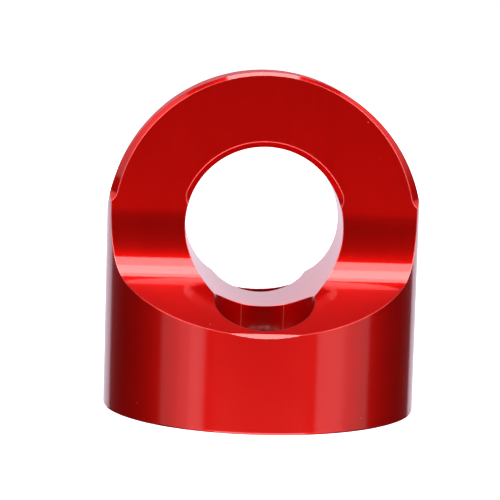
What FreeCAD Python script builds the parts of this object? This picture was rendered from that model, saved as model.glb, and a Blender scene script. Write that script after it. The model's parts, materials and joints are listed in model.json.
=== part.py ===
"""Phone handlebar mount: a billet post with a cross-bore for a 22.2 mm bar and two recessed M8 base screws.

Frame: +Z up, millimetres, with the origin at the centre of the flat base. The bar runs along Y, -Y the front.
The base screws' threads start at the base and reach into whatever the post is bolted to.
"""
import FreeCAD, Part
import math
import os

import Sketcher

SHEET = "Sizes"
ORIGIN_POINT = (-1, 1)
START, END, CENTRE = 1, 2, 3
FULL_TURN = 360
HEX_CORNERS = 6
SIDES = (("front", -1), ("rear", 1))

SIZES = {
    # post
    "body_radius": 22.5,
    "base_edge": 0.3,
    # bar bore: a 22.2 mm bar, its slide-on fit, and how far it clears the screw heads
    "bar_radius": 11.1,
    "bar_fit": 0.1,
    "bar_over_heads": 4.4,
    # arched top: its axis lies below the bore's, and it stands outside the post where it starts
    "arch_drop": 0.8,
    "arch_overhang": 0.1,
    # upright web and the seats milled in front of it and behind it
    "web_thickness": 11.2,
    "blend_lift": 2.2,
    "blend_radius": 11.5,
    "seat_slope": 26.0,
    "lip_width": 0.55,
    "lip_slope": 45.0,
    # edge breaks on the web's two faces, cut with a 90 degree mill
    "bore_edge": 0.8,
    "rim_edge": 0.45,
    "mill_radius": 2.2,
    "bore_edge_stop": 23.7,
    "rim_edge_stop": 11.9,
    "cut_margin": 3.0,
    # screw wells
    "well_wall": 1.25,
    "well_floor": 4.2,
    "head_clearance": 0.5,
    "hole_clearance": 0.5,
    # base screws: M8 low head cap screws, waisted where they pass through the post
    "thread_radius": 4.0,
    "thread_depth": 0.4,
    "screw_length": 20.0,
    "tip_edge": 1.0,
    "head_radius": 6.5,
    "head_height": 5.0,
    "head_edge": 0.5,
    "key_across_flats": 5.0,
    "key_depth": 2.8,
    # split lock washers
    "washer_thickness": 2.0,
    "washer_fit": 0.1,
    "washer_margin": 0.15,
    "washer_split": 0.8,
}

BORE_RADIUS = "(Sizes.bar_radius + Sizes.bar_fit)"
HEAD_BASE = "(Sizes.well_floor + Sizes.washer_thickness)"
BORE_HEIGHT = f"({HEAD_BASE} + Sizes.head_height + Sizes.bar_over_heads + {BORE_RADIUS})"
ARCH_RADIUS = "(Sizes.body_radius + Sizes.arch_overhang)"
ARCH_HEIGHT = f"({BORE_HEIGHT} - Sizes.arch_drop)"
TOTAL_HEIGHT = f"({ARCH_HEIGHT} + {ARCH_RADIUS})"
OUTSIDE = "(Sizes.body_radius + Sizes.cut_margin)"
ABOVE = f"({TOTAL_HEIGHT} + Sizes.cut_margin)"

WEB_FACE = "Sizes.web_thickness / 2"
BLEND_HEIGHT = f"({BORE_HEIGHT} + Sizes.blend_lift)"
BLEND_CENTRE = f"({WEB_FACE} + Sizes.blend_radius)"
SEAT_START_Y = f"({BLEND_CENTRE} - Sizes.blend_radius * sin(Sizes.seat_slope * 1deg))"
SEAT_START_Z = f"({BLEND_HEIGHT} - Sizes.blend_radius * cos(Sizes.seat_slope * 1deg))"
LIP_Y = "(Sizes.body_radius - Sizes.lip_width)"
LIP_Z = f"({SEAT_START_Z} - ({LIP_Y} - {SEAT_START_Y}) * tan(Sizes.seat_slope * 1deg))"
LIP_END_Z = f"({LIP_Z} - (Sizes.lip_width + Sizes.cut_margin) * tan(Sizes.lip_slope * 1deg))"

BORE_EDGE_RADIUS = f"({BORE_RADIUS} + Sizes.bore_edge)"
RIM_RADIUS = f"({ARCH_RADIUS} - Sizes.arch_drop - Sizes.rim_edge)"
RIM_CUT_RADIUS = f"({RIM_RADIUS} + Sizes.cut_margin)"

WELL_RADIUS = "(Sizes.head_radius + Sizes.head_clearance)"
SCREW_OFFSET = f"(Sizes.body_radius - Sizes.well_wall - {WELL_RADIUS})"
HOLE_RADIUS = "(Sizes.thread_radius + Sizes.hole_clearance)"
NECK_RADIUS = "(Sizes.thread_radius - Sizes.thread_depth)"


def make_sheet(doc):
    """The spreadsheet that drives every size, one named cell per row."""
    sheet = doc.addObject("Spreadsheet::Sheet", SHEET)
    for row, (name, value) in enumerate(SIZES.items(), start=1):
        sheet.set(f"A{row}", name)
        sheet.set(f"B{row}", str(value))
        sheet.setAlias(f"B{row}", name)
    doc.recompute()
    return sheet


def origin_plane(body, role):
    """One of the body's own origin planes."""
    return next(f for f in body.Origin.OriginFeatures if f.Role == role)


def new_sketch(body, name, role, shift_expr=None, shift_axis="y"):
    """A sketch on one of the body's origin planes, moved along a sketch axis if shift_expr is given."""
    sketch = body.newObject("Sketcher::SketchObject", name)
    sketch.AttachmentSupport = [(origin_plane(body, role), "")]
    sketch.MapMode = "FlatFace"
    if shift_expr:
        sketch.setExpression(f".AttachmentOffset.Base.{shift_axis}", shift_expr)
    body.Document.recompute()
    return sketch


def bind(sketch, kind, arguments, start, expression):
    """A dimension of the sketch, bound to an expression on the sheet."""
    index = sketch.addConstraint(Sketcher.Constraint(kind, *arguments, start))
    sketch.setExpression(f"Constraints[{index}]", expression)


def value_of(sketch, expression):
    """The present value of an expression, used as the sketch's first guess."""
    return float(sketch.evalExpression(expression))


def draw_outline(sketch, corners):
    """A closed outline. Each corner is (x, y, bulge): bulge None for a straight run to the next corner,
    or (centre x, centre y, turn) for an arc, turn +1 anticlockwise and -1 clockwise. All are expressions."""
    points = [
        FreeCAD.Vector(value_of(sketch, x), value_of(sketch, y), 0)
        for x, y, _ in corners
    ]
    for i, (_, _, arc) in enumerate(corners):
        first, last = points[i], points[(i + 1) % len(points)]
        if arc is None:
            sketch.addGeometry(Part.LineSegment(first, last))
        else:
            sketch.addGeometry(arc_between(sketch, first, last, arc))
    for i, (x, y, arc) in enumerate(corners):
        following = (i + 1) % len(corners)
        after = corners[following][2]
        point = END if arc is not None and arc[2] < 0 else START
        reach = START if arc is not None and arc[2] < 0 else END
        meets = END if after is not None and after[2] < 0 else START
        sketch.addConstraint(Sketcher.Constraint("Coincident", i, reach, following, meets))
        bind(sketch, "DistanceX", (*ORIGIN_POINT, i, point), points[i].x, x)
        bind(sketch, "DistanceY", (*ORIGIN_POINT, i, point), points[i].y, y)
        if arc is not None:
            chord = points[following] - points[i]
            kind, term = ("DistanceY", arc[1]) if abs(chord.x) > abs(chord.y) else ("DistanceX", arc[0])
            bind(sketch, kind, (*ORIGIN_POINT, i, CENTRE), value_of(sketch, term), term)


def arc_between(sketch, first, last, arc):
    """The arc from first to last around its centre, which Part draws anticlockwise."""
    centre = FreeCAD.Vector(value_of(sketch, arc[0]), value_of(sketch, arc[1]), 0)
    begin, finish = (first, last) if arc[2] > 0 else (last, first)
    radius = (begin - centre).Length
    from_angle = math.atan2(begin.y - centre.y, begin.x - centre.x)
    to_angle = math.atan2(finish.y - centre.y, finish.x - centre.x)
    circle = Part.Circle(centre, FreeCAD.Vector(0, 0, 1), radius)
    return Part.ArcOfCircle(circle, from_angle, to_angle)


def draw_circle(sketch, y_expr, radius_expr):
    """A circle on the sketch's vertical axis."""
    y, radius = value_of(sketch, y_expr), value_of(sketch, radius_expr)
    circle = Part.Circle(FreeCAD.Vector(0, y, 0), FreeCAD.Vector(0, 0, 1), radius)
    index = sketch.addGeometry(circle)
    bind(sketch, "DistanceX", (*ORIGIN_POINT, index, CENTRE), 0.0, "0")
    bind(sketch, "DistanceY", (*ORIGIN_POINT, index, CENTRE), y, y_expr)
    bind(sketch, "Radius", (index,), radius, radius_expr)


def cut(body, name, sketch, symmetric=False, upward=False, depth_expr=None):
    """A pocket: through everything, or to a depth, and it must take material away."""
    before = body.Tip.Shape.Volume
    pocket = body.newObject("PartDesign::Pocket", name)
    pocket.Profile = sketch
    pocket.Type = "Length" if depth_expr else "ThroughAll"
    pocket.Midplane = symmetric
    pocket.Reversed = upward
    if depth_expr:
        pocket.setExpression("Length", depth_expr)
    body.Document.recompute()
    assert pocket.Shape.Volume < before, f"{name} cuts nothing"


def turned_cut(body, name, sketch, angle_expr):
    """A groove turned about the sketch's horizontal axis, centred on the sketch plane."""
    before = body.Tip.Shape.Volume
    groove = body.newObject("PartDesign::Groove", name)
    groove.Profile = sketch
    groove.ReferenceAxis = (sketch, ["H_Axis"])
    groove.Midplane = True
    groove.setExpression("Angle", angle_expr)
    body.Document.recompute()
    assert groove.Shape.Volume < before, f"{name} cuts nothing"


def turned_blank(body, name, corners):
    """The outline turned about the body's Z axis."""
    sketch = new_sketch(body, f"{name}_outline", "XZ_Plane")
    draw_outline(sketch, corners)
    blank = body.newObject("PartDesign::Revolution", name)
    blank.Profile = sketch
    blank.ReferenceAxis = (sketch, ["V_Axis"])
    blank.Angle = FULL_TURN
    body.Document.recompute()


def round_the_top(body):
    """The top of the post follows an arch about an axis along Y, just below the bore's."""
    sketch = new_sketch(body, "arch_outline", "XZ_Plane")
    draw_outline(
        sketch,
        [
            (f"-{OUTSIDE}", ARCH_HEIGHT, None),
            (f"-{ARCH_RADIUS}", ARCH_HEIGHT, ("0", ARCH_HEIGHT, -1)),
            (ARCH_RADIUS, ARCH_HEIGHT, None),
            (OUTSIDE, ARCH_HEIGHT, None),
            (OUTSIDE, ABOVE, None),
            (f"-{OUTSIDE}", ABOVE, None),
        ],
    )
    cut(body, "arch", sketch, symmetric=True)


def mill_the_seat(body, side, sign):
    """One face of the upright web, the hollow blend below it, the sloping seat and its steeper lip."""
    sketch = new_sketch(body, f"{side}_seat_outline", "YZ_Plane")
    blend = (f"{sign} * {BLEND_CENTRE}", BLEND_HEIGHT, sign)
    draw_outline(
        sketch,
        [
            (f"{sign} * {WEB_FACE}", ABOVE, None),
            (f"{sign} * {WEB_FACE}", BLEND_HEIGHT, blend),
            (f"{sign} * {SEAT_START_Y}", SEAT_START_Z, None),
            (f"{sign} * {LIP_Y}", LIP_Z, None),
            (f"{sign} * {OUTSIDE}", LIP_END_Z, None),
            (f"{sign} * {OUTSIDE}", ABOVE, None),
        ],
    )
    cut(body, f"{side}_seat", sketch, symmetric=True)


def sink_the_screw_well(body, side, sign):
    """A base screw's counterbore and its clearance hole."""
    middle = f"{sign} * {SCREW_OFFSET}"
    well = new_sketch(body, f"{side}_well_outline", "XY_Plane", "Sizes.well_floor", "z")
    draw_circle(well, middle, WELL_RADIUS)
    cut(body, f"{side}_well", well, upward=True)
    hole = new_sketch(body, f"{side}_hole_outline", "XY_Plane")
    draw_circle(hole, middle, HOLE_RADIUS)
    cut(body, f"{side}_hole", hole, upward=True)


def break_the_edges(body, side, sign):
    """The 45 degree edge breaks on one face of the web, over the top of the bore and of the arch."""
    break_edge(
        body,
        f"{side}_bore_edge",
        sign,
        [
            (WEB_FACE, BORE_EDGE_RADIUS),
            (f"({WEB_FACE} - Sizes.bore_edge)", BORE_RADIUS),
            (WEB_FACE, BORE_RADIUS),
        ],
        "Sizes.bore_edge_stop",
        f"({BORE_EDGE_RADIUS} - Sizes.mill_radius)",
    )
    break_edge(
        body,
        f"{side}_rim_edge",
        sign,
        [
            (WEB_FACE, RIM_RADIUS),
            (f"({WEB_FACE} - Sizes.cut_margin)", RIM_CUT_RADIUS),
            (WEB_FACE, RIM_CUT_RADIUS),
        ],
        "Sizes.rim_edge_stop",
        f"({RIM_RADIUS} + Sizes.mill_radius)",
    )


def break_edge(body, name, sign, corners, stop, mill_height):
    """One edge break: a cut turned about the bore's axis from stop to stop, in degrees above level,
    that ends in the round of the mill where the mill is lifted."""
    sketch = new_sketch(body, f"{name}_outline", "YZ_Plane", BORE_HEIGHT)
    draw_outline(sketch, [(f"{sign} * {y}", z, None) for y, z in corners])
    turned_cut(body, name, sketch, f"180 - 2 * {stop}")
    for end, turn in (("left", f"90 - {stop}"), ("right", f"{stop} - 90")):
        lift_the_mill(body, f"{name}_{end}_end", sign, turn, mill_height)


def lift_the_mill(body, name, sign, turn, mill_height):
    """The mill's cone, its wide end on the web's face, turned from the top about the bore's axis."""
    cone = body.newObject("PartDesign::SubtractiveCone", name)
    cone.AttachmentSupport = [(origin_plane(body, "XZ_Plane"), "")]
    cone.MapMode = "FlatFace"
    across = f"-{mill_height} * sin(({turn}) * 1deg)"
    up = f"{BORE_HEIGHT} + {mill_height} * cos(({turn}) * 1deg)"
    back = f"-{WEB_FACE}" if sign > 0 else f"{WEB_FACE} - Sizes.mill_radius"
    for axis, expression in (("x", across), ("y", up), ("z", back)):
        cone.setExpression(f".AttachmentOffset.Base.{axis}", expression)
    wide, narrow = ("Radius1", "Radius2") if sign > 0 else ("Radius2", "Radius1")
    setattr(cone, narrow, 0)
    cone.setExpression(wide, "Sizes.mill_radius")
    cone.setExpression("Height", "Sizes.mill_radius")
    body.Document.recompute()


def make_post(doc):
    """The one-piece post: turned blank, arched top, seats, bar bore, screw wells and edge breaks."""
    body = doc.addObject("PartDesign::Body", "mount_body")
    body.Label = "mount_body"
    turned_blank(
        body,
        "blank",
        [
            ("0", "0", None),
            ("Sizes.body_radius - Sizes.base_edge", "0", None),
            ("Sizes.body_radius", "Sizes.base_edge", None),
            ("Sizes.body_radius", TOTAL_HEIGHT, None),
            ("0", TOTAL_HEIGHT, None),
        ],
    )
    round_the_top(body)
    bore = new_sketch(body, "bore_outline", "XZ_Plane")
    draw_circle(bore, BORE_HEIGHT, BORE_RADIUS)
    cut(body, "bar_bore", bore, symmetric=True)
    for side, sign in SIDES:
        mill_the_seat(body, side, sign)
        sink_the_screw_well(body, side, sign)
        break_the_edges(body, side, sign)
    return body


def make_screw(doc, side, sign):
    """An M8 low head cap screw with a hexagon socket, on its lock washer. Its thread starts at the base."""
    body = doc.addObject("PartDesign::Body", f"{side}_screw")
    body.Label = f"{side}_screw"
    head_top = "Sizes.head_height"
    turned_blank(
        body,
        f"{side}_screw_blank",
        [
            ("0", "-Sizes.screw_length", None),
            ("Sizes.thread_radius - Sizes.tip_edge", "-Sizes.screw_length", None),
            ("Sizes.thread_radius", "Sizes.tip_edge - Sizes.screw_length", None),
            ("Sizes.thread_radius", f"-{HEAD_BASE}", None),
            (NECK_RADIUS, f"Sizes.thread_depth - {HEAD_BASE}", None),
            (NECK_RADIUS, "0", None),
            ("Sizes.head_radius", "0", None),
            ("Sizes.head_radius", f"{head_top} - Sizes.head_edge", None),
            ("Sizes.head_radius - Sizes.head_edge", head_top, None),
            ("0", head_top, None),
        ],
    )
    socket = new_sketch(body, f"{side}_socket_outline", "XY_Plane", head_top, "z")
    corner = "Sizes.key_across_flats / sqrt(3)"
    draw_outline(
        socket,
        [
            (f"{corner} * cos({turn}deg)", f"{corner} * sin({turn}deg)", None)
            for turn in range(0, FULL_TURN, FULL_TURN // HEX_CORNERS)
        ],
    )
    cut(body, f"{side}_socket", socket, depth_expr="Sizes.key_depth")
    place(body, sign, HEAD_BASE)
    return body


def make_washer(doc, side, sign):
    """A split lock washer, pressed flat under the screw's head, with its split pointing outwards."""
    body = doc.addObject("PartDesign::Body", f"{side}_lock_washer")
    body.Label = f"{side}_lock_washer"
    outer = "Sizes.head_radius - Sizes.washer_margin"
    inner = "Sizes.thread_radius + Sizes.washer_fit"
    turned_blank(
        body,
        f"{side}_washer_ring",
        [
            (inner, "0", None),
            (outer, "0", None),
            (outer, "Sizes.washer_thickness", None),
            (inner, "Sizes.washer_thickness", None),
        ],
    )
    split = new_sketch(body, f"{side}_split_outline", "YZ_Plane")
    half, lean = "Sizes.washer_split / 2", "Sizes.washer_thickness / 4"
    draw_outline(
        split,
        [
            (f"-{half} - {lean}", "0", None),
            (f"{half} - {lean}", "0", None),
            (f"{half} + {lean}", "Sizes.washer_thickness", None),
            (f"-{half} + {lean}", "Sizes.washer_thickness", None),
        ],
    )
    cut(body, f"{side}_split", split, upward=True)
    place(body, sign, "Sizes.well_floor")
    return body


def place(body, sign, height_expr):
    """Stands a fastener piece on its screw's axis."""
    body.setExpression(".Placement.Base.y", f"{sign} * {SCREW_OFFSET}")
    body.setExpression(".Placement.Base.z", height_expr)
    body.Document.recompute()


def check(doc, pieces):
    """Stops if an object failed to build, or a piece is not one sound solid."""
    for item in doc.Objects:
        assert not {"Invalid", "Error"} & set(item.State), f"{item.Label} failed: {item.State}"
    for piece in pieces:
        shape = piece.Shape
        assert not shape.isNull() and shape.isValid(), f"{piece.Label} is not valid"
        assert len(shape.Solids) == 1, f"{piece.Label} has {len(shape.Solids)} solids"


def main():
    doc = FreeCAD.newDocument("phone_handlebar_mount")
    make_sheet(doc)
    pieces = [make_post(doc)]
    for side, sign in SIDES:
        pieces.append(make_washer(doc, side, sign))
        pieces.append(make_screw(doc, side, sign))
    doc.recompute()
    check(doc, pieces)
    os.makedirs("parts", exist_ok=True)
    for piece in pieces:
        piece.Shape.exportStep(f"parts/{piece.Label}.step")
        box = piece.Shape.optimalBoundingBox()
        print(
            f"{piece.Label}: {piece.Shape.Volume:.1f} mm3,",
            f"x {box.XMin:.2f}..{box.XMax:.2f}, y {box.YMin:.2f}..{box.YMax:.2f},",
            f"z {box.ZMin:.2f}..{box.ZMax:.2f}",
        )


main()
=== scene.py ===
"""Looks of the phone handlebar mount: a red anodised billet post, its two recessed screws and their washers.

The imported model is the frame. Every piece is modelled here in metres, in that frame, and rides on its body.
The front of the post faces -Y, its bore runs along Y, and it stands on z = 0.
"""

import json
import logging
import math
from contextlib import contextmanager
from dataclasses import dataclass
from enum import Enum
from typing import Callable, Iterator

import bmesh
import bpy
from mathutils import Matrix, Vector


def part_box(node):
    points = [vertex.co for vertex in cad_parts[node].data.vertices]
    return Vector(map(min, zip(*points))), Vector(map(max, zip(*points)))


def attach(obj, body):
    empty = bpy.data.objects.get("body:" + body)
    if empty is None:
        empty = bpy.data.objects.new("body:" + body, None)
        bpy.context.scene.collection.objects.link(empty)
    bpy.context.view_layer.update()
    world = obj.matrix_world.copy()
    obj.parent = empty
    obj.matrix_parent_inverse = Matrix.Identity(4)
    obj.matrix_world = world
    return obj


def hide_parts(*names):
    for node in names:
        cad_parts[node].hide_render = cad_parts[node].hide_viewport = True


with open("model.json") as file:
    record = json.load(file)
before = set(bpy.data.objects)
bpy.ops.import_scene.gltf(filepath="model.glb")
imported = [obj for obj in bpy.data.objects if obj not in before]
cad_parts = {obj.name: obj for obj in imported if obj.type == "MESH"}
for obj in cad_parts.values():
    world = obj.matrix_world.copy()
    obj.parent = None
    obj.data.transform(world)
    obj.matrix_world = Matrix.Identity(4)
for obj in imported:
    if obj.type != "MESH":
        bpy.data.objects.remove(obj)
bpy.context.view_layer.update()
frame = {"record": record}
MOUNTS = {mount["name"]: mount for mount in frame["record"]["mounts"]}

MM = 0.001
LOG = logging.getLogger("phone_mount")
BODY = "root"
QUARTER = math.pi / 2
HAIR = 0.002 * MM  # two places closer than this are the same place
TAN_30 = math.tan(math.radians(30))  # for a 60 degree thread and a 120 degree drill's point
NOISE_LOW, NOISE_HIGH = 0.3, 0.7  # nearly all of a noise's values lie between these
MIX_FIRST, MIX_SECOND, MIX_COLOUR = 6, 7, 2  # a Mix node's colour inputs and its colour output
Socket = bpy.types.NodeSocket


class Side(Enum):
    """The two faces of the post, by the sign of their Y."""

    FRONT = -1
    REAR = 1

    @property
    def word(self) -> str:
        """The side's name, as the frame's nodes spell it."""
        return self.name.lower()


class Operation(Enum):
    """What a tool solid does to the piece it meets."""

    CUT = "DIFFERENCE"
    KEEP_INSIDE = "INTERSECT"
    JOIN = "UNION"


# ---------------------------------------------------------------- bench work


def alone(piece: bpy.types.Object) -> None:
    """Selects one object and nothing else, and makes it the active one.

    Args:
        piece: the object that the next operators work on.
    """
    bpy.ops.object.select_all(action="DESELECT")
    piece.select_set(True)
    bpy.context.view_layer.objects.active = piece


@contextmanager
def edit_mode(piece: bpy.types.Object) -> Iterator[None]:
    """Opens a piece in edit mode with nothing selected, and closes it after.

    Args:
        piece: the mesh object to shape.
    """
    alone(piece)
    bpy.ops.object.mode_set(mode="EDIT")
    bpy.ops.mesh.select_mode(type="VERT")
    bpy.ops.mesh.select_all(action="DESELECT")
    yield
    bpy.ops.object.mode_set(mode="OBJECT")


def pick(piece: bpy.types.Object, test: Callable[[Vector], bool]) -> None:
    """Selects the vertices of the piece in edit mode whose place passes a test, and no others.

    Args:
        piece: the mesh object in edit mode.
        test: takes a vertex's place and says if it is wanted.
    """
    mesh = bmesh.from_edit_mesh(piece.data)
    for vertex in mesh.verts:
        vertex.select = test(vertex.co)
    mesh.select_mode = {"VERT"}
    mesh.select_flush_mode()
    bmesh.update_edit_mesh(piece.data)


def new_piece(name: str) -> bpy.types.Object:
    """Names the primitive just added, and settles its place into its mesh.

    Args:
        name: the piece's name.

    Returns:
        The primitive, at the origin, unturned and unscaled.
    """
    piece = bpy.context.object
    piece.name = name
    piece.data.name = name
    bpy.ops.object.transform_apply(location=True, rotation=True, scale=True)
    return piece


def apply_modifier(piece: bpy.types.Object, kind: str, **settings: object) -> None:
    """Adds a modifier, sets it up and applies it.

    Args:
        piece: the mesh object.
        kind: the modifier's type.
        settings: its properties.
    """
    modifier = piece.modifiers.new(kind.lower(), kind)
    for key, value in settings.items():
        setattr(modifier, key, value)
    alone(piece)
    bpy.ops.object.modifier_apply(modifier=modifier.name)


def machine(piece: bpy.types.Object, operation: Operation, tool: bpy.types.Object) -> None:
    """Cuts, trims or joins a piece with a tool solid, which is used up.

    Args:
        piece: the mesh object being made.
        operation: what the tool does.
        tool: a closed mesh object.
    """
    apply_modifier(piece, "BOOLEAN", operation=operation.value, solver="EXACT", object=tool)
    bpy.data.objects.remove(tool)


def face_outwards(piece: bpy.types.Object) -> None:
    """Merges doubles and turns every face outwards.

    Args:
        piece: the mesh object.
    """
    with edit_mode(piece):
        bpy.ops.mesh.select_all(action="SELECT")
        bpy.ops.mesh.remove_doubles(threshold=HAIR)
        bpy.ops.mesh.normals_make_consistent(inside=False)


def smooth(piece: bpy.types.Object, angle_deg: float) -> None:
    """Smooth shading up to an angle, with large flat faces kept flat to their edges.

    Args:
        piece: the mesh object.
        angle_deg: edges that turn by more than this stay sharp.
    """
    alone(piece)
    bpy.ops.object.shade_smooth_by_angle(angle=math.radians(angle_deg))
    apply_modifier(piece, "WEIGHTED_NORMAL", mode="FACE_AREA", weight=100, keep_sharp=True)


def half_width(node: str) -> float:
    """Half of a frame node's width in X."""
    low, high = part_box(node)
    return (high.x - low.x) / 2


# ---------------------------------------------------------------- finishes


class Lay(Enum):
    """How a surface was cut, with the axis that its tool marks run round, if any."""

    TURNED = ("turned", "Z")
    BORED = ("bored", "Y")
    ARCHED = ("arched", "Y")
    MILLED = ("milled", "")

    @property
    def axis(self) -> str:
        """The axis that the marks run round."""
        return self.value[1]


def linear(colour: str) -> tuple[float, float, float, float]:
    """Turns an sRGB hex colour to the linear one that shaders take.

    Args:
        colour: such as "#C81A14".

    Returns:
        Red, green, blue and a full alpha.
    """
    parts = [int(colour[place : place + 2], 16) / 255 for place in (1, 3, 5)]
    values = [part / 12.92 if part <= 0.04045 else ((part + 0.055) / 1.055) ** 2.4 for part in parts]
    return (*values, 1.0)


def add_node(
    tree: bpy.types.NodeTree,
    kind: str,
    values: dict | None = None,
    links: dict | None = None,
    **settings: object,
) -> bpy.types.Node:
    """Adds a node with its settings, its inputs' values and its inputs' links.

    Args:
        tree: the material's or world's node tree.
        kind: the node's type.
        values: a value for each named or numbered input.
        links: an output for each named or numbered input.
        settings: the node's own properties.

    Returns:
        The node.
    """
    node = tree.nodes.new(kind)
    for key, value in settings.items():
        setattr(node, key, value)
    for key, value in (values or {}).items():
        node.inputs[key].default_value = value
    for key, source in (links or {}).items():
        tree.links.new(source, node.inputs[key])
    return node


def spread(
    tree: bpy.types.NodeTree, value: Socket, span: tuple[float, float], onto: tuple[float, float]
) -> Socket:
    """Spreads a span of values over another one, and holds them at its ends.

    Args:
        tree: the node tree.
        value: the value.
        span: its two ends.
        onto: what they become.

    Returns:
        The new value.
    """
    ends = {"From Min": span[0], "From Max": span[1], "To Min": onto[0], "To Max": onto[1]}
    return add_node(tree, "ShaderNodeMapRange", ends, {"Value": value}).outputs[0]


@dataclass(frozen=True)
class WitnessLines:
    """Two faint upright lines that the mill left on each well's wall, under the bore.

    A pair of lengths gives where a line's share is nothing and where it is full.
    """

    apart: float = 6.0 * MM
    width: tuple[float, float] = (0.12 * MM, 0.02 * MM)
    inner_wall: tuple[float, float] = (8.6 * MM, 8.4 * MM)
    foot: tuple[float, float] = (9.5 * MM, 13.5 * MM)
    head: tuple[float, float] = (17.0 * MM, 16.5 * MM)
    faintness: float = 0.24

    def share(self, tree: bpy.types.NodeTree, place: Socket) -> Socket:
        """Where the lines are.

        Args:
            tree: the node tree.
            place: the coordinates.

        Returns:
            The lines' share.
        """
        parts = add_node(tree, "ShaderNodeSeparateXYZ", None, {0: place}).outputs
        across, along, height = (
            add_node(tree, "ShaderNodeMath", None, {0: part}, operation="ABSOLUTE").outputs[0]
            for part in parts
        )
        off = add_node(tree, "ShaderNodeMath", {1: self.apart / 2}, {0: across}, operation="SUBTRACT")
        off = add_node(tree, "ShaderNodeMath", None, {0: off.outputs[0]}, operation="ABSOLUTE")
        share = spread(tree, off.outputs[0], self.width, (0.0, self.faintness))
        for value, span in ((along, self.inner_wall), (height, self.foot), (height, self.head)):
            both = {0: share, 1: spread(tree, value, span, (0.0, 1.0))}
            share = add_node(tree, "ShaderNodeMath", None, both, operation="MULTIPLY").outputs[0]
        return share


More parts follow.
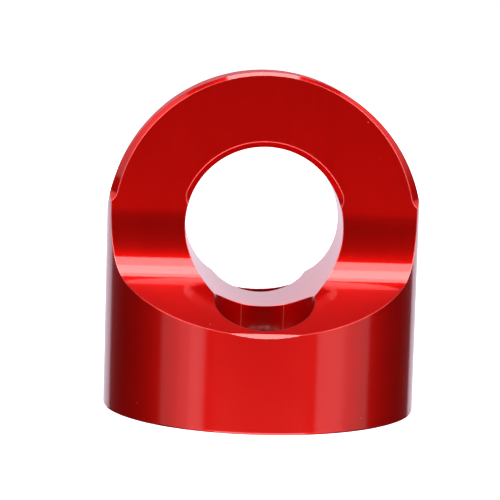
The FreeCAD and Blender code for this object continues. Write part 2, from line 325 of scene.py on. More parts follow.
@dataclass(frozen=True)
class MetalFinish:
    """A machined metal: tool marks along its lay, fine grain, slow stains, and edges painted lighter: a
    painted highlight along the edges, which on the steel also stands for wear.

    Real tool marks lie a few hundredths of a millimetre apart, too fine to show, so they are drawn 0.3 mm
    apart, and the grain as coarse.
    """

    name: str
    colour: str
    stain: str
    # the lighter colour painted along edges: a painted highlight, and on the steel also wear
    worn: str
    lay: Lay = Lay.MILLED
    roughness: float = 0.4
    roughness_swing: float = 0.06
    anisotropy: float = 0.0
    metallic: float = 1.0
    specular: float = 0.5
    coat: float = 0.0
    coat_roughness: float = 0.04
    coat_ior: float = 1.5
    mark_spacing: float = 0.3 * MM
    mark_length: float = 12.0 * MM
    mark_depth: float = 0.0006 * MM
    grain: float = 0.35 * MM
    grain_depth: float = 0.0004 * MM
    stain_size: float = 6.0 * MM
    # how wide and how strong the painted edge highlight is, strongest on faces that look along Y
    edge_radius: float = 0.22 * MM
    edge_gain: float = 14.0
    edge_share: float = 0.9
    edge_share_elsewhere: float = 0.3
    faces_along_y: tuple[float, float] = (0.5, 0.8)
    nick: str = "#FFB4AC"
    nick_spacing: float = 4.0 * MM
    nick_radius: float = 0.11 * MM
    nick_share: float = 0.7
    witness: WitnessLines | None = None

    def make(self) -> bpy.types.Material:
        """Makes the material's nodes.

        Returns:
            The material.
        """
        material = bpy.data.materials.new(self.name)
        material.use_nodes = True
        tree = material.node_tree
        tree.nodes.clear()
        place = add_node(tree, "ShaderNodeTexCoord").outputs["Object"]
        marks = self.tool_marks(tree, place)
        grain = self.noise(tree, place, 1 / self.grain, detail=3)
        rounded = add_node(tree, "ShaderNodeBevel", {"Radius": self.edge_radius}, samples=8).outputs[0]
        # mask of painted edge highlight (on the steel also wear), from the rounded normal
        worn = self.worn_edges(tree, rounded)
        nicks = self.nicks(tree, place)
        stains = self.noise(tree, place, 1 / self.stain_size, detail=4)
        colour = self.mix(tree, stains, linear(self.colour), linear(self.stain))
        # paints the lighter edge colour over the metal: a painted highlight along the edges
        colour = self.mix(tree, worn, colour, linear(self.worn))
        colour = self.mix(tree, nicks, colour, linear(self.nick))
        if self.witness:
            colour = self.mix(tree, self.witness.share(tree, place), colour, linear(self.nick))
        rough = spread(
            tree,
            marks,
            (NOISE_LOW, NOISE_HIGH),
            (self.roughness - self.roughness_swing, self.roughness + self.roughness_swing),
        )
        bump = add_node(
            tree,
            "ShaderNodeBump",
            {"Strength": 1.0, "Distance": self.mark_depth},
            {"Height": marks, "Normal": rounded},
        )
        bump = add_node(
            tree,
            "ShaderNodeBump",
            {"Strength": 1.0, "Distance": self.grain_depth},
            {"Height": grain, "Normal": bump.outputs[0]},
        )
        shader = add_node(
            tree,
            "ShaderNodeBsdfPrincipled",
            {
                "Metallic": self.metallic,
                "Specular IOR Level": self.specular,
                "Coat Weight": self.coat,
                "Coat Roughness": self.coat_roughness,
                "Coat IOR": self.coat_ior,
                "Anisotropic": self.anisotropy,
                "Anisotropic Rotation": QUARTER / math.tau,
            },
            {"Base Color": colour, "Roughness": rough, "Normal": bump.outputs[0]},
        )
        if self.lay.axis:
            around = add_node(tree, "ShaderNodeTangent", direction_type="RADIAL", axis=self.lay.axis)
            tree.links.new(around.outputs[0], shader.inputs["Tangent"])
        add_node(tree, "ShaderNodeOutputMaterial", None, {"Surface": shader.outputs[0]})
        return material

    def noise(self, tree: bpy.types.NodeTree, place: Socket, scale: float, detail: float) -> Socket:
        """Noise of one scale over the piece.

        Args:
            tree: the node tree.
            place: the coordinates.
            scale: cells in a metre.
            detail: how many finer layers are added.

        Returns:
            The noise's value.
        """
        cells = {"Scale": scale, "Detail": detail}
        return add_node(tree, "ShaderNodeTexNoise", cells, {"Vector": place}).outputs[0]

    def mix(self, tree: bpy.types.NodeTree, factor: Socket, first: object, second: tuple) -> Socket:
        """Mixes a second colour over a first one.

        Args:
            tree: the node tree.
            factor: the second colour's share.
            first: a colour or an output that gives one.
            second: a colour.

        Returns:
            The mixed colour.
        """
        node = add_node(tree, "ShaderNodeMix", {MIX_SECOND: second}, {0: factor}, data_type="RGBA")
        if isinstance(first, tuple):
            node.inputs[MIX_FIRST].default_value = first
        else:
            tree.links.new(first, node.inputs[MIX_FIRST])
        return node.outputs[MIX_COLOUR]

    def tool_marks(self, tree: bpy.types.NodeTree, place: Socket) -> Socket:
        """Fine lines left by the tool, along the lay.

        Args:
            tree: the node tree.
            place: the coordinates.

        Returns:
            The marks' height.
        """
        across, along = 1 / self.mark_spacing, 1 / self.mark_length
        scale = {
            Lay.TURNED: (along, along, across),
            Lay.BORED: (along, across, along),
            Lay.ARCHED: (along, across, along),
            Lay.MILLED: (across, along, along),
        }[self.lay]
        stretched = add_node(tree, "ShaderNodeMapping", {"Scale": scale}, {"Vector": place})
        return self.noise(tree, stretched.outputs[0], scale=1.0, detail=3)

    def worn_edges(self, tree: bpy.types.NodeTree, rounded: Socket) -> Socket:
        """Where an edge is near, as the surface's rounded normal leaves its own: the share of painted edge
        highlight, which on the steel also stands for wear.

        Args:
            tree: the node tree.
            rounded: the rounded normal.

        Returns:
            The share of painted edge highlight and wear.
        """
        normal = add_node(tree, "ShaderNodeNewGeometry").outputs["Normal"]
        turned = add_node(
            tree, "ShaderNodeVectorMath", None, {0: rounded, 1: normal}, operation="DOT_PRODUCT"
        ).outputs["Value"]
        return add_node(
            tree,
            "ShaderNodeMapRange",
            {"From Min": 1.0, "From Max": 1 - 1 / self.edge_gain, "To Min": 0.0},
            {"Value": turned, "To Max": self.greatest_wear_and_highlight(tree, normal)},
        ).outputs[0]

    def greatest_wear_and_highlight(self, tree: bpy.types.NodeTree, normal: Socket) -> Socket:
        """The greatest share of painted edge highlight that an edge may show, which is greatest on faces that
        look along Y.

        Args:
            tree: the node tree.
            normal: the surface's own normal.

        Returns:
            The greatest share of painted highlight and wear there.
        """
        along = add_node(tree, "ShaderNodeSeparateXYZ", None, {0: normal}).outputs["Y"]
        size = add_node(tree, "ShaderNodeMath", None, {0: along}, operation="ABSOLUTE").outputs[0]
        return spread(tree, size, self.faces_along_y, (self.edge_share_elsewhere, self.edge_share))

    def nicks(self, tree: bpy.types.NodeTree, place: Socket) -> Socket:
        """A few tiny nicks, scattered.

        Args:
            tree: the node tree.
            place: the coordinates.

        Returns:
            The share of bare nick.
        """
        cells = add_node(tree, "ShaderNodeTexVoronoi", {"Scale": 1 / self.nick_spacing}, {"Vector": place})
        size = self.nick_radius / self.nick_spacing
        return spread(tree, cells.outputs["Distance"], (size, size / 2), (0.0, self.nick_share))


def red_anodised(lay: Lay) -> MetalFinish:
    """Aluminium, anodised and dyed red: a deep glossy red, under a clear layer that mirrors the lights.

    The turned side mirrors them softly, the arched top is the dullest, and the bore the sharpest.

    Args:
        lay: the way the tool marks run under the dye.

    Returns:
        The finish.
    """
    return MetalFinish(
        name=f"{lay.name.lower()}_red_anodised_aluminium",
        colour="#C60D08" if lay is Lay.TURNED else "#DA0D08",
        stain="#BC0B06" if lay is Lay.TURNED else "#CE0B06",
        # pink edge colour: a painted highlight along the post's edges
        worn="#FF8282",
        lay=lay,
        roughness={Lay.TURNED: 0.46, Lay.ARCHED: 0.5}.get(lay, 0.36),
        roughness_swing=0.02,
        mark_depth=0.0002 * MM,
        grain_depth=0.0002 * MM,
        metallic={Lay.ARCHED: 0.6}.get(lay, 0.86),
        specular=0.0,
        coat={Lay.ARCHED: 0.12, Lay.BORED: 0.7}.get(lay, 1.0),
        coat_roughness={Lay.TURNED: 0.13, Lay.ARCHED: 0.2, Lay.BORED: 0.03}.get(lay, 0.07),
        coat_ior={Lay.TURNED: 1.38, Lay.BORED: 1.5}.get(lay, 1.62),
        edge_share=0.35 if lay is Lay.TURNED else 0.95,
        edge_share_elsewhere=0.117 if lay is Lay.TURNED else 0.317,
        witness=WitnessLines() if lay is Lay.MILLED else None,
    )


# Stainless A2 cap screw: grey, semi-bright, with turned rings.
SCREW_STEEL = MetalFinish(
    name="stainless_steel_screw",
    colour="#B9B6B0",
    stain="#A9A6A0",
    # lighter edge colour: painted highlight along the edges, and wear
    worn="#D4D2CE",
    lay=Lay.TURNED,
    roughness=0.3,
    anisotropy=0.4,
    mark_length=4.0 * MM,
)

# Zinc plated spring steel washer: a little darker and duller than the screw.
WASHER_STEEL = MetalFinish(
    name="zinc_plated_spring_steel",
    colour="#9FA0A2",
    stain="#8C8D8E",
    # lighter edge colour: painted highlight along the edges, and wear
    worn="#C6C7C8",
    roughness=0.38,
    grain=0.5 * MM,
    mark_length=3.0 * MM,
)


@dataclass(frozen=True)
class PaleFloor:
    """Matt white laminate: near white, with a faint mottle."""

    colour: str = "#FAFAFA"
    mottle: str = "#F4F4F4"
    mottle_size: float = 90 * MM
    roughness: float = 0.85
    glow: float = 1.12
    half_width: float = 12.0

    def make(self) -> bpy.types.Object:
        """Makes the floor, which glows, and neither mirrors in the metal nor stops light.

        Returns:
            The floor.
        """
        bpy.ops.mesh.primitive_plane_add(size=2 * self.half_width)
        floor = new_piece("studio_floor")
        material = bpy.data.materials.new("matt_white_laminate")
        material.use_nodes = True
        tree = material.node_tree
        tree.nodes.clear()
        place = add_node(tree, "ShaderNodeTexCoord").outputs["Object"]
        noise = add_node(tree, "ShaderNodeTexNoise", {"Scale": 1 / self.mottle_size}, {"Vector": place})
        colour = add_node(
            tree,
            "ShaderNodeMix",
            {MIX_FIRST: linear(self.colour), MIX_SECOND: linear(self.mottle)},
            {0: noise.outputs[0]},
            data_type="RGBA",
        ).outputs[MIX_COLOUR]
        shader = add_node(
            tree,
            "ShaderNodeBsdfPrincipled",
            {"Roughness": self.roughness, "Emission Strength": self.glow},
            {"Base Color": colour, "Emission Color": colour},
        )
        add_node(tree, "ShaderNodeOutputMaterial", None, {"Surface": shader.outputs[0]})
        floor.data.materials.append(material)
        floor.visible_glossy = False
        floor.visible_diffuse = False
        floor.visible_shadow = False
        return floor


# ---------------------------------------------------------------- the post


@dataclass(frozen=True)
class PostFineness:
    """Facets of the post's round surfaces, in a full turn."""

    outside: int = 480
    arch: int = 480
    bore: int = 400
    well: int = 200
    hole: int = 96
    mill: int = 64
    blend_steps: int = 48


@dataclass
class MountPost:
    """The one-piece billet post: turned blank, arched top, bar bore, two milled seats and two screw wells.

    Lengths are metres and angles degrees. What the frame states is read from it.
    """

    name: str = "post"
    node: str = "mount_body"
    radius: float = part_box("mount_body")[1].x
    height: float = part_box("mount_body")[1].z
    bore_radius: float = MOUNTS["bar_bore"]["dims"]["r_mm"] * MM
    bore_height: float = MOUNTS["bar_bore"]["pos_m"][2]
    screw_offset: float = MOUNTS["base_studs"]["dims"]["pcd_mm"] * MM / 2
    base_edge: float = 0.3 * MM
    arch_overhang: float = 0.1 * MM
    web_face: float = 5.6 * MM
    blend_lift: float = 2.2 * MM
    blend_radius: float = 11.5 * MM
    seat_slope: float = 26.0
    lip_width: float = 0.55 * MM
    lip_slope: float = 45.0
    bore_edge: float = 0.8 * MM
    bore_edge_stop: float = 23.7
    rim_radius: float = 21.35 * MM
    rim_edge_stop: float = 11.9
    mill_radius: float = 2.2 * MM
    well_radius: float = 7.0 * MM
    well_floor: float = 4.2 * MM
    hole_radius: float = 4.5 * MM
    margin: float = 3.0 * MM
    turned_skin: float = 0.5 * MM
    bored_skin: float = 0.02 * MM
    upright_over: float = 0.99
    across_within: float = 0.02
    sharp_over: float = 12.0
    fineness: PostFineness = PostFineness()

    @property
    def outside(self) -> float:
        """A distance from the axis that is clear of the post."""
        return self.radius + self.margin

    @property
    def above(self) -> float:
        """A height that is clear of the post."""
        return self.height + self.margin

    def build(self) -> bpy.types.Object:
        """Machines the post from its blank.

        Returns:
            The finished mesh object.
        """
        post = self.turned_blank()
        machine(post, Operation.KEEP_INSIDE, self.arch_stock())
        machine(post, Operation.CUT, self.bore_tool())
        for side in Side:
            machine(post, Operation.CUT, self.seat_tool(side))
            for radius, floor, facets in (
                (self.well_radius, self.well_floor, self.fineness.well),
                (self.hole_radius, -self.margin, self.fineness.hole),
            ):
                machine(post, Operation.CUT, self.upright_tool(side, radius, floor, facets))
            self.break_edges(post, side)
        face_outwards(post)
        smooth(post, self.sharp_over)
        return post

    def turned_blank(self) -> bpy.types.Object:
        """A turned bar end, its foot chamfered, too tall by the margin.

        Returns:
            The blank.
        """
        bpy.ops.mesh.primitive_cylinder_add(
            vertices=self.fineness.outside,
            radius=self.radius,
            depth=self.above,
            location=(0, 0, self.above / 2),
        )
        blank = new_piece(self.name)
        with edit_mode(blank):
            pick(blank, lambda place: place.z < HAIR)
            bpy.ops.mesh.bevel(offset=self.base_edge, segments=2, profile=0.5, affect="EDGES")
        return blank

    def arch_stock(self) -> bpy.types.Object:
        """What the arched top leaves: a half cylinder along Y, on a block.

        Returns:
            The tool solid.
        """
        radius = self.radius + self.arch_overhang
        centre = self.height - radius
        bpy.ops.mesh.primitive_cylinder_add(
            vertices=self.fineness.arch,
            radius=radius,
            depth=2 * self.outside,
            location=(0, 0, centre),
            rotation=(QUARTER, 0, 0),
        )
        stock = new_piece("arch_stock")
        with edit_mode(stock):
            bpy.ops.mesh.select_all(action="SELECT")
            bpy.ops.mesh.bisect(plane_co=(0, 0, centre), plane_no=(0, 0, 1), clear_inner=True, threshold=HAIR)
            pick(stock, lambda place: place.z < centre + HAIR)
            bpy.ops.mesh.extrude_region_move(TRANSFORM_OT_translate={"value": (0, 0, -centre - self.margin)})
            bpy.ops.mesh.edge_face_add()
        face_outwards(stock)
        return stock

    def bore_tool(self) -> bpy.types.Object:
        """The bar bore's cylinder, along Y.

        Returns:
            The tool solid.
        """
        bpy.ops.mesh.primitive_cylinder_add(
            vertices=self.fineness.bore,
            radius=self.bore_radius,
            depth=2 * self.outside,
            location=(0, 0, self.bore_height),
            rotation=(QUARTER, 0, 0),
        )
        return new_piece("bore_tool")

    def upright_tool(self, side: Side, radius: float, floor: float, facets: int) -> bpy.types.Object:
        """A cylinder that stands on a screw's axis.

        Args:
            side: which screw.
            radius: the cylinder's radius.
            floor: the height of its lower end.
            facets: facets in a full turn.

        Returns:
            The tool solid.
        """
        bpy.ops.mesh.primitive_cylinder_add(
            vertices=facets,
            radius=radius,
            depth=self.above - floor,
            location=(0, side.value * self.screw_offset, (self.above + floor) / 2),
        )
        return new_piece("upright_tool")

    def seat_tool(self, side: Side) -> bpy.types.Object:
        """All that is milled away on one side of the web: down the web's face, round the blend, out along the
        sloping seat and over its steeper lip.

        Args:
            side: the side of the web.

        Returns:
            The tool solid.
        """
        sign = side.value
        foot = self.bore_height + self.blend_lift
        face = sign * self.web_face
        turn = 90.0 - self.seat_slope
        bpy.ops.mesh.primitive_plane_add(
            size=1, location=(0, face, (self.above + foot) / 2), rotation=(QUARTER, 0, 0)
        )
        bpy.context.object.scale = (2 * self.outside, self.above - foot, 1)
        tool = new_piece("seat_tool")
        start = Vector((0, self.web_face + self.blend_radius, foot)) - self.blend_radius * Vector(
            (0, math.cos(math.radians(turn)), math.sin(math.radians(turn)))
        )
        to_lip = self.radius - self.lip_width - start.y
        over = self.lip_width + self.margin
        runs = (
            (to_lip, -to_lip * math.tan(math.radians(self.seat_slope))),
            (over, -over * math.tan(math.radians(self.lip_slope))),
        )
        with edit_mode(tool):
            pick(tool, lambda place: abs(place.z - foot) < HAIR)
            bpy.ops.mesh.spin(
                steps=self.fineness.blend_steps,
                angle=math.radians(turn),
                center=(0, face + sign * self.blend_radius, foot),
                axis=(-sign, 0, 0),
            )
            low = start.z + sum(upwards for _, upwards in runs)
            for outwards, upwards in (*runs, (0, self.above - low)):
                step = (0, sign * outwards, upwards)
                bpy.ops.mesh.extrude_region_move(TRANSFORM_OT_translate={"value": step})
            pick(tool, lambda place: abs(place.z - self.above) < HAIR)
            bpy.ops.mesh.edge_face_add()
            for end in (-1, 1):
                pick(tool, lambda place, end=end: abs(place.x - end * self.outside) < HAIR)
                bpy.ops.mesh.edge_face_add()
        face_outwards(tool)
        return tool

    def break_edges(self, post: bpy.types.Object, side: Side) -> None:
        """Breaks the web's two round edges at 45 degrees over the top, each run ending in the mill's round.

        Args:
            post: the post.
            side: the face of the web.
        """
        bore_line = self.bore_radius + self.bore_edge - self.mill_radius
        rim_line = self.rim_radius + self.mill_radius
        machine(post, Operation.CUT, self.mill_path(side, bore_line, self.bore_edge_stop))
        machine(post, Operation.CUT, self.mill_path(side, rim_line, self.rim_edge_stop))

    def mill_path(self, side: Side, line: float, stop: float) -> bpy.types.Object:
        """What a 90 degree mill sweeps as it runs round the bore's axis, over the top from stop to stop.

        The mill's cone is halved where the run starts, its open half is spun up to the top, and the
        other half of the run is its mirror image.

        Args:
            side: the face of the web.
            line: the mill's distance from the bore's axis.
            stop: where the run ends, in degrees above level.

        Returns:
            The tool solid.
        """
        proud = self.margin / 2
        deep = self.mill_radius + proud
        turn = math.radians(stop)
        middle = side.value * (self.web_face + proud - deep / 2)
        axis_place = Vector((0, side.value * self.web_face, self.bore_height))
        across = (-math.sin(turn), 0, math.cos(turn))
        bpy.ops.mesh.primitive_cone_add(
            vertices=self.fineness.mill,
            radius1=deep,
            radius2=0,
            depth=deep,
            location=(line * math.cos(turn), middle, self.bore_height + line * math.sin(turn)),
            rotation=(side.value * QUARTER, turn, 0),
        )
        path = new_piece("mill_path")
        with edit_mode(path):
            bpy.ops.mesh.select_all(action="SELECT")
            bpy.ops.mesh.bisect(plane_co=axis_place, plane_no=across, clear_outer=True, threshold=HAIR)
            bpy.ops.mesh.spin(
                steps=self.fineness.arch // 4, angle=QUARTER - turn, center=axis_place, axis=(0, 1, 0)
            )
        apply_modifier(path, "MIRROR", use_axis=(True, False, False), merge_threshold=HAIR)
        face_outwards(path)
        return path

    def dress(self, post: bpy.types.Object) -> None:
        """Gives each face the finish of the tool that cut it.

        Args:
            post: the finished post.
        """
        lays = list(Lay)
        for lay in lays:
            post.data.materials.append(red_anodised(lay).make())
        for face in post.data.polygons:
            face.material_index = lays.index(self.lay_of(face.center, face.normal))

    def lay_of(self, place: Vector, normal: Vector) -> Lay:
        """Says how a face was cut.

        Args:
            place: the face's middle.
            normal: the face's outward direction.

        Returns:
            Turned on the outside, bored in the bore, arched over the top, milled elsewhere.
        """
        upright = math.hypot(normal.x, normal.y) > self.upright_over
        if upright and math.hypot(place.x, place.y) > self.radius - self.turned_skin:
            return Lay.TURNED
        if abs(normal.y) < self.across_within:
            from_axis = math.hypot(place.x, place.z - self.bore_height)
            if from_axis < self.bore_radius + self.bored_skin:
                return Lay.BORED
            if normal.z > 0 and from_axis > self.radius - self.margin:
                return Lay.ARCHED
        return Lay.MILLED


# ---------------------------------------------------------------- the fasteners


@dataclass
class CapScrew:
    """An M8 low head cap screw: knurled head, hexagon socket, waisted neck and a rolled thread."""

    head_radius: float = half_width("front_screw")
    top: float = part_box("front_screw")[1].z
    tip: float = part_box("front_screw")[0].z
    head_height: float = 5.0 * MM
    head_edge: float = 0.5 * MM
    thread_radius: float = MOUNTS["base_studs"]["dims"]["stud_r_mm"] * MM
    thread_pitch: float = 1.25 * MM
    thread_depth: float = 0.76 * MM
    thread_root_flat: float = thread_pitch / 8
    groove_overshoot: float = 0.15
    neck_radius: float = 3.6 * MM
    tip_edge: float = 1.0 * MM
    key_across_flats: float = 5.0 * MM
    key_depth: float = 2.8 * MM
    knurl_depth: float = 0.12 * MM
    knurls: int = 72
    facets: int = 48
    sharp_over: float = 30.0

    @property
    def seat(self) -> float:
        """The height of the head's underside."""
        return self.top - self.head_height

    def build(self) -> bpy.types.Object:
        """Makes the screw upright on the frame's Z axis, to the size of its node.

        Returns:
            The finished mesh object.
        """
        screw = self.head()
        machine(screw, Operation.JOIN, self.shank())
        machine(screw, Operation.CUT, self.key_socket())
        face_outwards(screw)
        smooth(screw, self.sharp_over)
        return screw

    def head(self) -> bpy.types.Object:
        """The round head, its top edge rounded and its side knurled.

        Returns:
            The head.
        """
        bpy.ops.mesh.primitive_cylinder_add(
            vertices=2 * self.knurls,
            radius=self.head_radius,
            depth=self.head_height,
            location=(0, 0, self.seat + self.head_height / 2),
        )
        head = new_piece("cap_screw")
        with edit_mode(head):
            pick(head, lambda place: place.z > self.top - HAIR)
            bpy.ops.mesh.bevel(offset=self.head_edge, segments=3, profile=0.5, affect="EDGES")
            valley = math.pi / self.knurls
            pick(head, lambda place: self.is_valley(place, valley))
            share = 1 - self.knurl_depth / self.head_radius
            bpy.ops.transform.resize(value=(share, share, 1), center_override=(0, 0, 0))
        return head

    def is_valley(self, place: Vector, step: float) -> bool:
        """Says if a vertex is on a knurl's valley, on the head's straight side.

        Args:
            place: the vertex's place.
            step: the angle between a ridge and the next valley.

        Returns:
            True for every other line of the side.
        """
        outer = math.hypot(place.x, place.y) > self.head_radius - HAIR
        return outer and round(math.atan2(place.x, place.y) / step) % 2 == 1

    def shank(self) -> bpy.types.Object:
        """The threaded shank with its chamfered tip, and the waisted neck above it.

        Returns:
            The shank, which reaches a little way into the head.
        """
        bpy.ops.mesh.primitive_cylinder_add(
            vertices=2 * self.facets,
            radius=self.thread_radius,
            depth=-self.tip,
            location=(0, 0, self.tip / 2),
        )
        shank = new_piece("shank")
        with edit_mode(shank):
            pick(shank, lambda place: place.z < self.tip + HAIR)
            bpy.ops.mesh.bevel(offset=self.tip_edge, segments=1, affect="EDGES")
            pick(shank, lambda place: place.z > -HAIR)
            bpy.ops.mesh.bevel(offset=self.tip_edge / 2, segments=1, affect="EDGES")
        machine(shank, Operation.CUT, self.thread_groove())
        lap = self.head_height / 4
        foot = -self.thread_pitch
        bpy.ops.mesh.primitive_cylinder_add(
            vertices=self.facets,
            radius=self.neck_radius,
            depth=self.seat + lap - foot,
            location=(0, 0, (self.seat + lap + foot) / 2),
        )
        machine(shank, Operation.JOIN, new_piece("neck"))
        return shank

    def thread_groove(self) -> bpy.types.Object:
        """The V groove of the thread as one closed helical solid, from below the tip to the thread's start.

        Returns:
            The tool solid.
        """
        root = self.thread_radius - self.thread_depth
        proud = self.thread_radius + self.thread_depth * self.groove_overshoot
        flat = self.thread_root_flat
        mouth = flat + 2 * (proud - root) * TAN_30
        start = self.tip - self.thread_pitch
        turns = math.floor((-self.thread_pitch / 2 - start) / self.thread_pitch)
        bpy.ops.mesh.primitive_plane_add(
            size=1, location=((proud + root) / 2, 0, start), rotation=(QUARTER, 0, 0)
        )
        bpy.context.object.scale = (proud - root, flat, 1)
        groove = new_piece("thread_groove")
        with edit_mode(groove):
            pick(groove, lambda place: place.x > proud - HAIR)
            bpy.ops.transform.resize(value=(1, 1, mouth / flat), center_override=(proud, 0, start))
            bpy.ops.mesh.select_all(action="SELECT")
            bpy.ops.mesh.delete(type="ONLY_FACE")
        apply_modifier(
            groove,
            "SCREW",
            axis="Z",
            angle=math.tau,
            screw_offset=self.thread_pitch,
            iterations=turns,
            steps=self.facets,
            render_steps=self.facets,
        )
        with edit_mode(groove):
            bpy.ops.mesh.select_non_manifold()
            bpy.ops.mesh.edge_face_add()
        face_outwards(groove)
        return groove

    def key_socket(self) -> bpy.types.Object:
        """The hexagon socket with its drilled cone and countersunk mouth.

        Returns:
            The tool solid.
        """
        corner = self.key_across_flats / math.sqrt(3)
        proud = self.head_edge
        bpy.ops.mesh.primitive_cylinder_add(
            vertices=6,
            radius=corner,
            depth=self.key_depth + proud,
            location=(0, 0, self.top + (proud - self.key_depth) / 2),
        )
        tool = new_piece("key_socket")
        drill = self.key_across_flats / 2 - 2 * HAIR
        point = drill * TAN_30
        bpy.ops.mesh.primitive_cone_add(
            vertices=self.facets,
            radius1=0,
            radius2=drill,
            depth=point,
            location=(0, 0, self.top - self.key_depth - point / 2 + HAIR),
        )
        machine(tool, Operation.JOIN, new_piece("drill_point"))
        mouth = corner + self.head_edge / 2
        bpy.ops.mesh.primitive_cone_add(
            vertices=self.facets, radius1=0, radius2=2 * mouth, depth=2 * mouth, location=(0, 0, self.top)
        )
        machine(tool, Operation.JOIN, new_piece("mouth"))
        return tool


@dataclass
class LockWasher:
    """A split lock washer of nearly square wire, flat under the screw's head. Its split leans across it."""

    radius: float = half_width("front_lock_washer")
    foot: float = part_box("front_lock_washer")[0].z
    top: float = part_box("front_lock_washer")[1].z
    bore_radius: float = 4.1 * MM
    split: float = 0.8 * MM
    split_lean: float = 0.5
    edge: float = 0.2 * MM
    bevel_over: float = 40.0
    facets: int = 96
    sharp_over: float = 30.0

    def build(self) -> bpy.types.Object:
        """Makes the washer round the frame's Z axis, to the size and height of its node.

        Returns:
            The finished mesh object.
        """
        middle = Vector((0, 0, (self.foot + self.top) / 2))
        thick = self.top - self.foot
        bpy.ops.mesh.primitive_cylinder_add(
            vertices=self.facets, radius=self.radius, depth=thick, location=middle
        )
        washer = new_piece("split_washer")
        bpy.ops.mesh.primitive_cylinder_add(
            vertices=self.facets, radius=self.bore_radius, depth=2 * thick, location=middle
        )
        machine(washer, Operation.CUT, new_piece("washer_bore"))
        bpy.ops.mesh.primitive_cube_add(size=1, location=middle + Vector((self.radius, 0, 0)))
        saw = bpy.context.object
        saw.scale = (2 * (self.radius - self.bore_radius) + self.split, self.split, 3 * thick)
        saw.rotation_euler.x = -math.atan(self.split_lean)
        machine(washer, Operation.CUT, new_piece("washer_split"))
        face_outwards(washer)
        apply_modifier(
            washer,
            "BEVEL",
            width=self.edge,
            segments=2,
            limit_method="ANGLE",
            angle_limit=math.radians(self.bevel_over),
        )
        smooth(washer, self.sharp_over)
        return washer


# ---------------------------------------------------------------- the studio


class Facing(Enum):
    """Which way a light shines, by the angle that it is tipped up from pointing down."""

    DOWN = 0.0
    INWARDS = QUARTER
    UP = math.pi


@dataclass(frozen=True)
class Softbox:
    """A flat soft light at a bearing from the front, in metres and degrees."""

    name: str
    glow: float
    width: float
    height: float
    bearing: float = 0.0
    distance: float = 0.8
    middle: float = 0.0
    facing: Facing = Facing.INWARDS
    tint: str = "#FFFFFF"

    def hang(self) -> None:
        """Adds the light."""
        turn = math.radians(self.bearing)
        where = (self.distance * math.sin(turn), -self.distance * math.cos(turn), self.middle)
        bpy.ops.object.light_add(type="AREA", location=where, rotation=(self.facing.value, 0, turn))
        lamp = bpy.context.object
        lamp.name = self.name
        lamp.data.shape = "RECTANGLE"
        lamp.data.size, lamp.data.size_y = self.width, self.height
        lamp.data.energy = math.pi * self.glow * self.width * self.height  # its face is as bright as the glow
        lamp.data.color = linear(self.tint)[:3]
        lamp.visible_camera = False


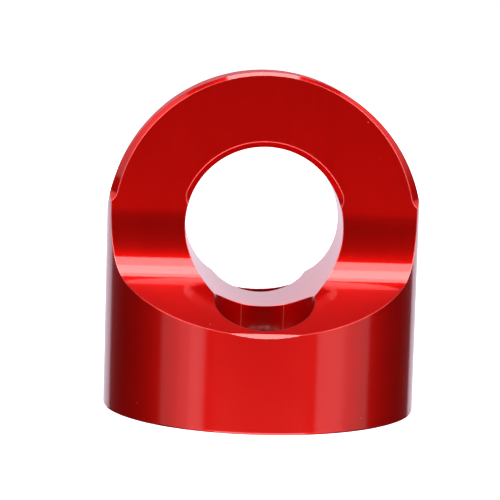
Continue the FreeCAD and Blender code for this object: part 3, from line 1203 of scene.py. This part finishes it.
@dataclass
class Studio:
    """The lights, the white surround and the camera."""

    surround: float = 0.015
    lens: float = 159.3
    sensor: float = 36.0
    camera_place: tuple[float, float, float] = (-12.48 * MM, -317.88 * MM, 60.62 * MM)
    heading: float = -1.936
    pitch: float = 6.804
    roll: float = 1.68
    lights: tuple[Softbox, ...] = (  # name, glow, width and height, then the place
        Softbox("left_softbox_outer", 0.95, 0.21, 1.6, bearing=-69.5, middle=0.585),
        Softbox("left_softbox_inner", 1.35, 0.30, 1.6, bearing=-51.5, middle=0.585),
        Softbox("left_strip", 0.8, 0.137, 1.2, bearing=-48, distance=0.78, middle=0.4),
        Softbox("left_high_softbox", 3.7, 0.62, 0.9, bearing=-58, middle=0.82),
        Softbox("left_rim_strip", 0.6, 0.26, 1.06, bearing=-84, middle=0.73),
        Softbox("right_softbox_inner", 1.75, 0.31, 1.6, bearing=51, middle=0.585),
        Softbox("right_softbox_outer", 1.05, 0.31, 1.6, bearing=73, middle=0.585),
        Softbox("right_high_softbox", 3.7, 0.62, 0.9, bearing=58, middle=0.82),
        Softbox("right_rim_strip", 0.6, 0.26, 1.06, bearing=84, middle=0.73),
        Softbox("overhead_front", 3.8, 0.43, 0.203, distance=0.271, middle=0.825, facing=Facing.DOWN),
        Softbox("overhead_middle", 5.8, 0.43, 0.2, distance=0.07, middle=0.825, facing=Facing.DOWN),
        Softbox("overhead_back", 3.6, 0.43, 0.08, distance=-0.07, middle=0.825, facing=Facing.DOWN),
        Softbox("low_front_fill", 0.2, 1.4, 0.42, distance=0.95, middle=-0.34),
        Softbox("floor_bounce", 3.0, 0.6, 0.46, distance=0.33, middle=-0.15, facing=Facing.UP),
        Softbox("white_backdrop", 1.12, 1.12, 0.7, bearing=180, middle=0.1, tint="#F3EFFF"),
    )

    def set_up(self) -> None:
        """Puts up the lights, the surround and the camera."""
        for light in self.lights:
            light.hang()
        self.surround_white()
        self.place_camera()
        bpy.context.scene.view_settings.view_transform = "Standard"

    def surround_white(self) -> None:
        """A surround that the camera sees white, and that adds only a little light."""
        world = bpy.data.worlds.new("white_surround")
        world.use_nodes = True
        tree = world.node_tree
        tree.nodes.clear()
        seen = add_node(tree, "ShaderNodeLightPath").outputs["Is Camera Ray"]
        strength = add_node(
            tree, "ShaderNodeMapRange", {"To Min": self.surround, "To Max": 1.0}, {"Value": seen}
        ).outputs[0]
        glow = add_node(tree, "ShaderNodeBackground", {"Color": (1, 1, 1, 1)}, {"Strength": strength})
        add_node(tree, "ShaderNodeOutputWorld", None, {"Surface": glow.outputs[0]})
        bpy.context.scene.world = world

    def place_camera(self) -> None:
        """Adds the camera, turned left by its heading, down by its pitch, and then rolled."""
        heading, pitch, roll = (math.radians(angle) for angle in (self.heading, self.pitch, self.roll))
        level = Vector((-math.sin(heading), math.cos(heading), 0))
        up = Vector((0, 0, 1))
        right = Vector((math.cos(heading), math.sin(heading), 0))
        ahead = level * math.cos(pitch) - up * math.sin(pitch)
        above = up * math.cos(pitch) + level * math.sin(pitch)
        across = right * math.cos(roll) + above * math.sin(roll)
        upright = above * math.cos(roll) - right * math.sin(roll)
        bpy.ops.object.camera_add()
        camera = bpy.context.object
        turned = Matrix((across, upright, -ahead)).transposed().to_4x4()
        camera.matrix_world = Matrix.Translation(self.camera_place) @ turned
        camera.data.lens, camera.data.sensor_width = self.lens, self.sensor
        bpy.context.scene.camera = camera


# ---------------------------------------------------------------- the mount


def copy_to(master: bpy.types.Object, side: Side, offset: float) -> bpy.types.Object:
    """Copies a fastener, with a mesh of its own, from the Z axis to its hole.

    Args:
        master: the fastener, made round the Z axis.
        side: the hole's side.
        offset: the hole's distance from the Z axis.

    Returns:
        The copy, at the origin, with its place in its mesh.
    """
    piece = master.copy()
    piece.data = master.data.copy()
    piece.name = piece.data.name = f"{side.word}_{master.name}"
    bpy.context.collection.objects.link(piece)
    piece.location.y = side.value * offset
    alone(piece)
    bpy.ops.object.transform_apply(location=True)
    return piece


def settle(piece: bpy.types.Object, node: str) -> None:
    """Puts a piece on its body in place of its frame node, and reports it.

    Args:
        piece: the finished piece.
        node: the frame's node that it stands for.
    """
    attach(piece, BODY)
    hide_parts(node)
    LOG.info("%s: %d faces for %s", piece.name, len(piece.data.polygons), node)


def main() -> None:
    """Builds the mount and its studio, piece by piece."""
    logging.basicConfig(level=logging.INFO)
    post = MountPost()
    body = post.build()
    post.dress(body)
    settle(body, post.node)
    screw_steel, washer_steel = SCREW_STEEL.make(), WASHER_STEEL.make()
    for maker, steel, slot, noun in (
        (CapScrew(), screw_steel, "screw_steel", "screw"),
        (LockWasher(), washer_steel, "washer_steel", "lock_washer"),
    ):
        master = maker.build()
        master.data.materials.append(steel)
        for side in Side:
            settle(copy_to(master, side, post.screw_offset), f"{side.word}_{noun}")
        bpy.data.objects.remove(master)
    PaleFloor().make()
    Studio().set_up()


if __name__ == "__main__":
    main()
